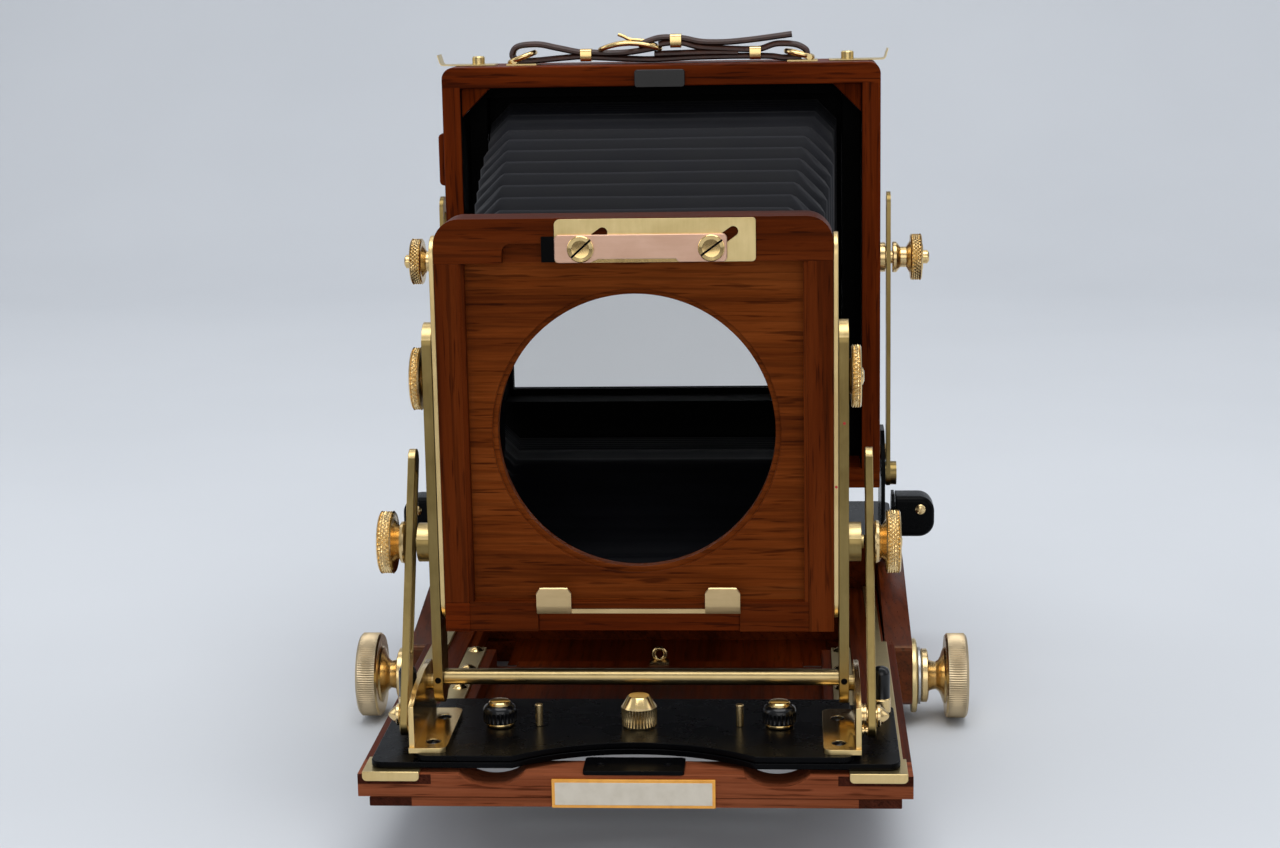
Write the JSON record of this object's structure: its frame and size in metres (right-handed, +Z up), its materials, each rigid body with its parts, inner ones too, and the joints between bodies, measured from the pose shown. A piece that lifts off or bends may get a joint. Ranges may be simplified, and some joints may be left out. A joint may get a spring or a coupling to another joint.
{
  "type": "folding large format view camera",
  "caption": "Folding wooden field camera for 4x5 in. sheet film, with a tapered bellows, racked focusing bed and tilting, swinging standards",
  "frame": {"origin": "mouth of the tripod socket, at the middle of the base's underside (Z = 0)", "axes": "+Z up; the lens looks along -Y, towards the viewer of the front view, and +Y is the film side; +X is the viewer's right"},
  "size_m": [0.2066, 0.247, 0.228],
  "materials": {
    "cherry": "satin oiled cherry",
    "cherry_panel": "satin, horizontal grain",
    "brass": "satin brushed, knurled on the knobs",
    "copper": "pinkish copper alloy",
    "black_metal": "semi-gloss black lacquer",
    "steel": "bright steel",
    "bellows": "matt black bellows cloth",
    "strap": "dark brown strap leather",
    "glass": "ground on one side",
    "enamel": "cream enamel with a yellow border, blank"
  },
  "bodies": {
    "base": {"base_body": "cherry", "cheeks": "cherry", "bearing_plates": "brass", "tripod_plate": "brass", "bed_catch_ring": "brass", "rear_bed_plate": "black_metal"},
    "turntable": {"rear_turntable": "black_metal"},
    "rear_levers": {"rear_levers": "black_metal"},
    "rear": {"rear_frame": "cherry", "rear_tilt_pins": "brass", "back_frame": "cherry", "leaf_springs": "steel", "top_fittings": "brass", "strap": "strap", "strap_hardware": "brass", "bellows_rear": "bellows"},
    "rear_catch": {"rear_catch": "black_metal"},
    "spring_back": {"spring_back": "cherry", "ground_glass": "glass"},
    "rear_struts": {"rear_struts": "brass"},
    "rear_knob_left": {"rear_knob_left": "brass"},
    "rear_knob_right": {"rear_knob_right": "brass"},
    "bed": {"bed_frame": "cherry", "bed_guides": "brass", "hinge_ears": "brass"},
    "bed_slides": {"bed_slides": "brass"},
    "rails": {"focus_frame": "cherry", "tracks": "brass", "latch_strike": "black_metal", "name_plate": "enamel"},
    "pinion": {"pinion_shaft": "steel", "focus_knobs": "brass"},
    "carriage": {"carriage_plate": "black_metal"},
    "lock_post_left": {"lock_post_left": "brass"},
    "lock_post_right": {"lock_post_right": "brass"},
    "swing": {"swing_plate": "black_metal", "brackets": "brass", "stop_pins": "brass"},
    "swing_knob": {"swing_knob": "brass"},
    "plate_knob_left": {"plate_knob_left": "brass"},
    "plate_knob_right": {"plate_knob_right": "brass"},
    "uprights": {"uprights": "brass", "cross_rod": "brass"},
    "struts": {"struts": "brass"},
    "lower_knob_left": {"lower_knob_left": "brass"},
    "lower_knob_right": {"lower_knob_right": "brass"},
    "upper_knob_left": {"upper_knob_left": "brass"},
    "upper_knob_right": {"upper_knob_right": "brass"},
    "shoes": {"guide_blocks": "brass"},
    "lens": {"lens_frame": "cherry", "lens_panel": "cherry_panel", "bellows_front_board": "black_metal", "side_plates": "brass", "latch_bar": "copper", "lower_lip": "brass", "bellows_front": "bellows"},
    "latch": {"latch_plate": "brass"},
    "b_fold": {"bellows_fold": "bellows"},
    "b_focus": {"bellows_focus": "bellows"},
    "b_swing": {"bellows_swing": "bellows"}
  },
  "joints": [
    {"name": "rear_swing", "type": "hinge", "parent": "base", "child": "turntable", "pos_m": [0, 0.06, 0.05], "axis": [0, 0, 1], "range_deg": [-5, 5]},
    {"name": "rear_tilt", "type": "hinge", "parent": "turntable", "child": "rear", "pos_m": [0, 0.043, 0.078], "axis": [-1, 0, 0], "range_deg": [0, 12], "deforming": ["bellows_rear"]},
    {"name": "rear_strut_swing", "type": "hinge", "parent": "turntable", "child": "rear_struts", "pos_m": [0, 0.035, 0.072], "axis": [-1, 0, 0], "range_deg": [0, 12]},
    {"name": "rear_knob_left_turn", "type": "hinge", "parent": "rear", "child": "rear_knob_left", "pos_m": [-0.08, 0.038, 0.149], "axis": [1, 0, 0], "continuous": true},
    {"name": "rear_knob_right_turn", "type": "hinge", "parent": "rear", "child": "rear_knob_right", "pos_m": [0.08, 0.038, 0.149], "axis": [1, 0, 0], "continuous": true},
    {"name": "rear_lever_turn", "type": "hinge", "parent": "turntable", "child": "rear_levers", "pos_m": [0, 0.0302, 0.0583], "axis": [1, 0, 0], "range_deg": [-20, 20]},
    {"name": "rear_catch_slide", "type": "slide", "parent": "rear", "child": "rear_catch", "axis": [0, 0, 1], "range_m": [-0.003, 0]},
    {"name": "spring_back_slide", "type": "slide", "parent": "rear", "child": "spring_back", "axis": [0, 1, 0], "range_m": [0, 0.008], "stiffness_N_per_m": 400, "springref_m": -0.004, "deforming": ["leaf_springs"]},
    {"name": "bed_fold", "type": "hinge", "parent": "base", "child": "bed", "pos_m": [0, -0.023, 0.015], "axis": [1, 0, 0], "range_deg": [-90, 0]},
    {"name": "slide_travel", "type": "slide", "parent": "bed", "child": "bed_slides", "axis": [0, -1, 0], "range_m": [0, 0.0585]},
    {"name": "focus", "type": "slide", "parent": "bed_slides", "child": "rails", "axis": [0, -1, 0], "range_m": [0, 0.05]},
    {"name": "pinion_turn", "type": "hinge", "parent": "base", "child": "pinion", "pos_m": [0, -0.023, 0.015], "axis": [1, 0, 0], "range_deg": [0, 430]},
    {"name": "carriage_travel", "type": "slide", "parent": "rails", "child": "carriage", "axis": [0, 1, 0], "range_m": [0, 0.1425]},
    {"name": "lock_post_left_turn", "type": "hinge", "parent": "carriage", "child": "lock_post_left", "pos_m": [-0.0704, -0.118, 0.04], "axis": [0, 0, 1], "continuous": true},
    {"name": "lock_post_right_turn", "type": "hinge", "parent": "carriage", "child": "lock_post_right", "pos_m": [0.0704, -0.118, 0.04], "axis": [0, 0, 1], "continuous": true},
    {"name": "front_swing", "type": "hinge", "parent": "carriage", "child": "swing", "pos_m": [0, -0.1355, 0.034], "axis": [0, 0, 1], "range_deg": [-10, 10]},
    {"name": "swing_knob_turn", "type": "hinge", "parent": "swing", "child": "swing_knob", "pos_m": [0, -0.1355, 0.04], "axis": [0, 0, 1], "continuous": true},
    {"name": "plate_knob_left_turn", "type": "hinge", "parent": "swing", "child": "plate_knob_left", "pos_m": [-0.0406, -0.1355, 0.04], "axis": [0, 0, 1], "continuous": true},
    {"name": "plate_knob_right_turn", "type": "hinge", "parent": "swing", "child": "plate_knob_right", "pos_m": [0.0406, -0.1355, 0.04], "axis": [0, 0, 1], "continuous": true},
    {"name": "standard_fold", "type": "hinge", "parent": "swing", "child": "uprights", "pos_m": [0, -0.124, 0.0445], "axis": [1, 0, 0], "range_deg": [0, 90.5]},
    {"name": "strut_swing", "type": "hinge", "parent": "swing", "child": "struts", "pos_m": [0, -0.144, 0.041], "axis": [1, 0, 0], "range_deg": [0, 106]},
    {"name": "lower_knob_left_turn", "type": "hinge", "parent": "uprights", "child": "lower_knob_left", "pos_m": [-0.072, -0.124, 0.087], "axis": [1, 0, 0], "continuous": true},
    {"name": "upper_knob_left_turn", "type": "hinge", "parent": "uprights", "child": "upper_knob_left", "pos_m": [-0.062, -0.124, 0.1356], "axis": [1, 0, 0], "continuous": true},
    {"name": "lower_knob_right_turn", "type": "hinge", "parent": "uprights", "child": "lower_knob_right", "pos_m": [0.072, -0.124, 0.087], "axis": [1, 0, 0], "continuous": true},
    {"name": "upper_knob_right_turn", "type": "hinge", "parent": "uprights", "child": "upper_knob_right", "pos_m": [0.062, -0.124, 0.1356], "axis": [1, 0, 0], "continuous": true},
    {"name": "front_tilt", "type": "hinge", "parent": "uprights", "child": "shoes", "pos_m": [0, -0.124, 0.1356], "axis": [1, 0, 0], "range_deg": [0, 12]},
    {"name": "front_rise", "type": "slide", "parent": "shoes", "child": "lens", "axis": [0, 0, 1], "range_m": [0, 0.04], "deforming": ["bellows_front"]},
    {"name": "board_latch_slide", "type": "slide", "parent": "lens", "child": "latch", "axis": [-0.8194, 0, -0.5733], "range_m": [0, 0.007]},
    {"name": "bellows_focus_follow", "type": "slide", "parent": "base", "child": "b_focus", "axis": [0, -1, 0], "range_m": [0, 0.0505], "deforming": ["bellows_focus"]},
    {"name": "bellows_fold_follow", "type": "slide", "parent": "b_focus", "child": "b_fold", "axis": [0, 1, 0], "range_m": [0, 0.131], "deforming": ["bellows_fold"]},
    {"name": "bellows_swing_follow", "type": "hinge", "parent": "b_fold", "child": "b_swing", "pos_m": [0, -0.1355, 0.06], "axis": [0, 0, 1], "range_deg": [-10.1, 10.1], "deforming": ["bellows_swing"]}
  ],
  "couplings": [
    {"joint": "rear_strut_swing", "follows": "rear_tilt", "ratio": 0.91},
    {"joint": "slide_travel", "follows": "bed_fold", "m_per_rad": -0.036924},
    {"joint": "carriage_travel", "follows": "bed_fold", "m_per_rad": -0.0904},
    {"joint": "standard_fold", "follows": "bed_fold", "ratio": -1},
    {"joint": "strut_swing", "follows": "bed_fold", "ratio": -1.1633},
    {"joint": "bellows_fold_follow", "follows": "bed_fold", "m_per_rad": -0.083079},
    {"joint": "pinion_turn", "follows": "focus", "rad_per_m": 150},
    {"joint": "bellows_focus_follow", "follows": "focus", "ratio": 1},
    {"joint": "bellows_swing_follow", "follows": "front_swing", "ratio": 1}
  ]
}
